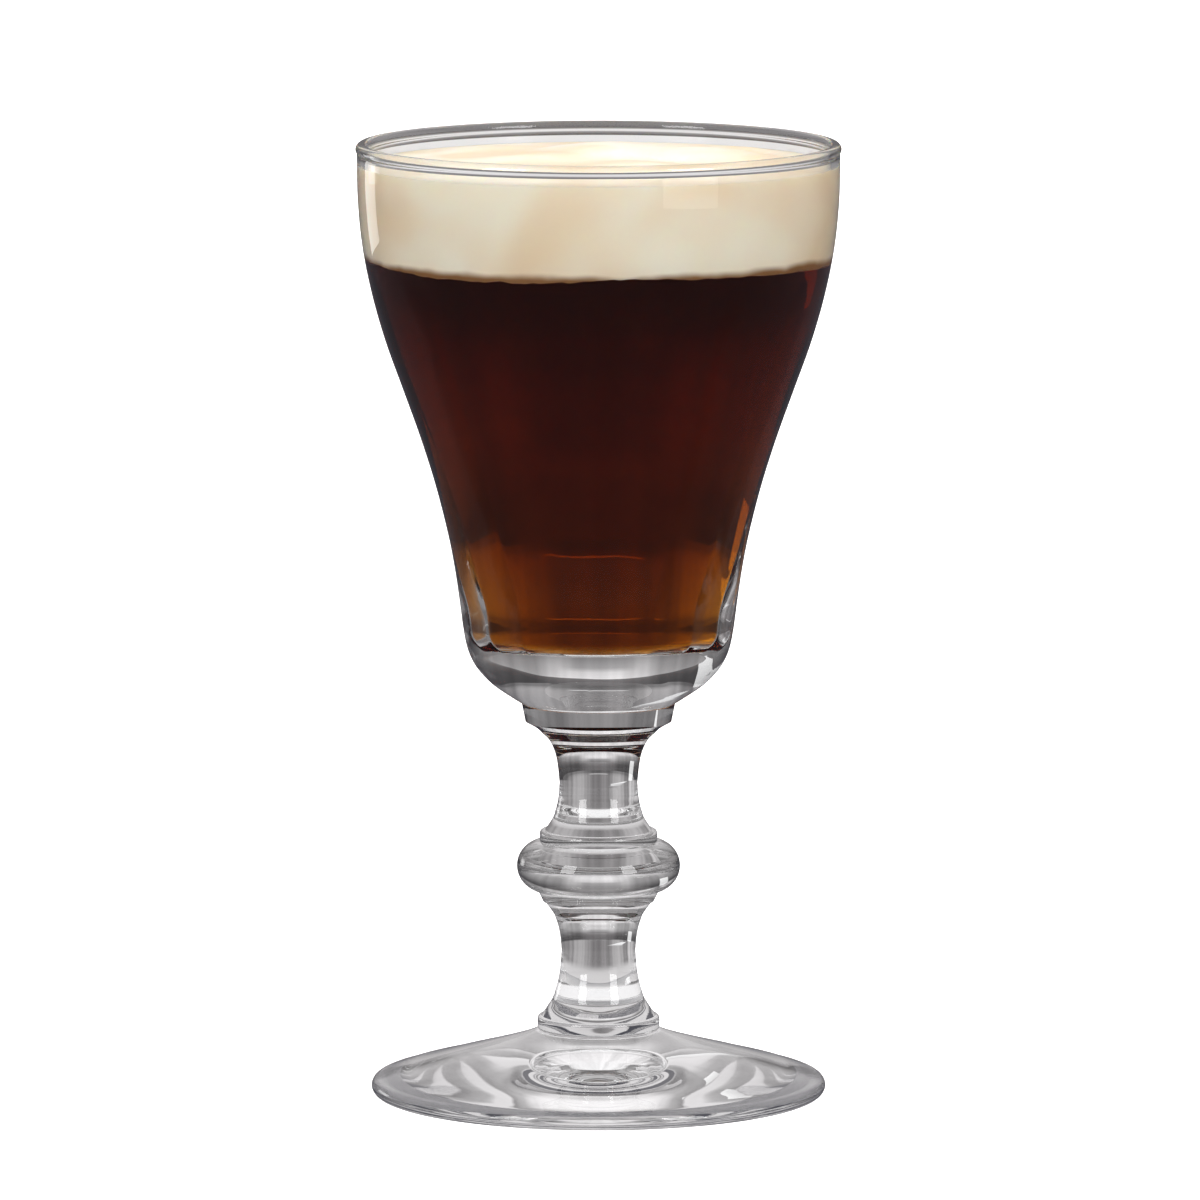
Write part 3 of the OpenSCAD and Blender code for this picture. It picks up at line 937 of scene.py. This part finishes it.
# %% World
world = bpy.data.worlds.new("white_studio")
bpy.context.scene.world = world
world.use_nodes = True
tree = world.node_tree
tree.nodes.clear()
out = tree.nodes.new("ShaderNodeOutputWorld")
path = add(tree, "ShaderNodeLightPath")
way = add(tree, "ShaderNodeTexCoord").outputs["Generated"]
split = add(tree, "ShaderNodeSeparateXYZ", links={"Vector": way})
GREYS_BY_HEIGHT = [(0, "#6C696A"), (0.05, "#7A7778"), (0.1, "#A4A1A2"), (0.16, "#CDCACB"),
                   (0.26, "#EDEAEB"), (0.5, "#E1DEDF"), (0.72, "#FBF8F9"), (1, "#FFFEFF")]
walls = add(tree, "ShaderNodeValToRGB", links={"Fac": split.outputs["Z"]})
set_stops(walls, GREYS_BY_HEIGHT)
print("greys of the walls", len(GREYS_BY_HEIGHT))

# %% Dark sides and furniture
turn = add(tree, "ShaderNodeMath", {"operation": "ARCTAN2"},
           {0: split.outputs["X"], 1: split.outputs["Y"]})
off_centre = add(tree, "ShaderNodeMath", {"operation": "ABSOLUTE"}, {0: turn.outputs[0]}).outputs[0]
sides = add(tree, "ShaderNodeMapRange",
            {"From Min": 0.8, "From Max": 1.3, "To Min": 1.0, "To Max": 0.48}, {"Value": off_centre})
beside = add(tree, "ShaderNodeMapRange", {"From Min": 0.2, "From Max": 0.36}, {"Value": off_centre})
low_down = add(tree, "ShaderNodeMapRange",
               {"From Min": 0.28, "From Max": 0.42, "To Min": 1.0, "To Max": 0.0},
               {"Value": split.outputs["Z"]})
cupboard = add(tree, "ShaderNodeMath", {"operation": "MULTIPLY"},
               {0: beside.outputs["Result"], 1: low_down.outputs["Result"]})
furniture = add(tree, "ShaderNodeMapRange", {"To Min": 1.0, "To Max": 0.45},
                {"Value": cupboard.outputs[0]})
dimmed = add(tree, "ShaderNodeMath", {"operation": "MULTIPLY"},
             {0: sides.outputs["Result"], 1: furniture.outputs["Result"]})
streaked = add(tree, "ShaderNodeMath", {"operation": "MULTIPLY"},
               {0: dimmed.outputs[0], 1: room_streaks(tree, way, 0.85, 1.15)})

# %% Dark cloth straight behind
cloth = add(tree, "ShaderNodeMath", {"operation": "MULTIPLY"},
            {0: span(split.outputs["Z"], 0.1, 0.17, 0.03),
             1: span(turn.outputs[0], -0.12, 0.12, 0.12)})
hung = add(tree, "ShaderNodeMapRange", {"To Min": 1.0, "To Max": 0.6}, {"Value": cloth.outputs[0]})
room = add(tree, "ShaderNodeMath", {"operation": "MULTIPLY"},
           {0: streaked.outputs[0], 1: hung.outputs["Result"]})
studio = add(tree, "ShaderNodeBackground",
             links={"Color": walls.outputs["Color"], "Strength": room.outputs[0]})

# %% [markdown]
# ### Soft light for the cream
# The cream takes its light after one diffuse bounce, so it can have a light of its own
# that the glass never shows: a large soft box above the camera, white in front and the
# warm brown of a wooden table behind.

# %% Soft box
toward_box = add(tree, "ShaderNodeVectorMath", {"operation": "DOT_PRODUCT", 1: (0, -0.8, 0.6)},
                 {0: way}).outputs["Value"]
falloff = add(tree, "ShaderNodeMapRange",
              {"From Min": -0.4, "From Max": 0.9, "To Min": 0.42, "To Max": 1.85},
              {"Value": toward_box})
warmth = add(tree, "ShaderNodeMapRange", {"From Min": -0.4, "From Max": 0.75}, {"Value": toward_box})
wood = add(tree, "ShaderNodeMix", {"data_type": "RGBA", 6: linear("#C8965E"), 7: linear("#FFFFFF")},
           {0: warmth.outputs["Result"]})
soft_box = add(tree, "ShaderNodeBackground",
               links={"Strength": falloff.outputs["Result"], "Color": wood.outputs[2]})
scattered = add(tree, "ShaderNodeMath", {"operation": "GREATER_THAN", 1: 0.5},
                {0: path.outputs["Diffuse Depth"]})
lit = add(tree, "ShaderNodeMixShader",
          links={0: scattered.outputs[0], 1: studio.outputs[0], 2: soft_box.outputs[0]})
white = add(tree, "ShaderNodeBackground", {"Color": linear("#FFFFFF"), "Strength": 1.0})
shown = add(tree, "ShaderNodeMixShader",
            links={0: path.outputs["Is Camera Ray"], 1: lit.outputs[0], 2: white.outputs[0]})
tree.links.new(shown.outputs[0], out.inputs["Surface"])
print("world has", len(tree.nodes), "nodes")

# %% [markdown]
# ## The windows
# Bright upright lights give glass its highlights: the square on the cream and the white
# bars on the stem are two windows in front of the glass, and smaller ones low down and
# behind catch its edges. Lamps are used and not glowing planes, because a lamp can be
# hidden from light that has passed through the glass, where it would leave scribbles. Two
# stay visible there for their glints: the right sill and the back left window.

# %% Window lights
def window_light(name, azimuth, distance, low_z, width, height, radiance, through_glass=False):
    """An upright soft light that faces the glass. Azimuth runs from the front to the right."""
    lamp = bpy.data.lights.new(name, "AREA")
    lamp.shape = "RECTANGLE"
    lamp.size = width
    lamp.size_y = height
    lamp.energy = radiance * math.pi * width * height
    made = bpy.data.objects.new(name, lamp)
    a = math.radians(azimuth)
    made.location = (distance * math.sin(a), -distance * math.cos(a), low_z + height / 2)
    made.rotation_euler = (math.pi / 2, 0, a)
    made.visible_camera = False
    made.visible_transmission = through_glass
    bpy.context.scene.collection.objects.link(made)
    print(name, round(lamp.energy, 2), "W")


window_light("left_window", -45, 1.2, 0.1, 0.45, 0.85, 7)
window_light("right_window", 45, 1.2, 0.1, 0.45, 0.85, 7)
window_light("right_sill", 44, 0.9, 0.002, 0.44, 0.084, 1.2, through_glass=True)
window_light("left_sill", -139, 0.68, 0.002, 0.17, 0.12, 1.6)
window_light("back_left_window", -136.3, 1.3, 0.0, 0.24, 0.24, 0.75, through_glass=True)

# %% [markdown]
# ## Render settings that belong to glass
# A ray crosses many walls of glass before it leaves, so it needs more bounces than
# Blender's defaults, or the stem turns black. Two volume bounces let the coffee's haze
# catch light.

# %% Bounces and view
scene = bpy.context.scene
scene.view_settings.view_transform = "Standard"
scene.cycles.max_bounces = 32
scene.cycles.transmission_bounces = 32
scene.cycles.glossy_bounces = 16
scene.cycles.volume_bounces = 2
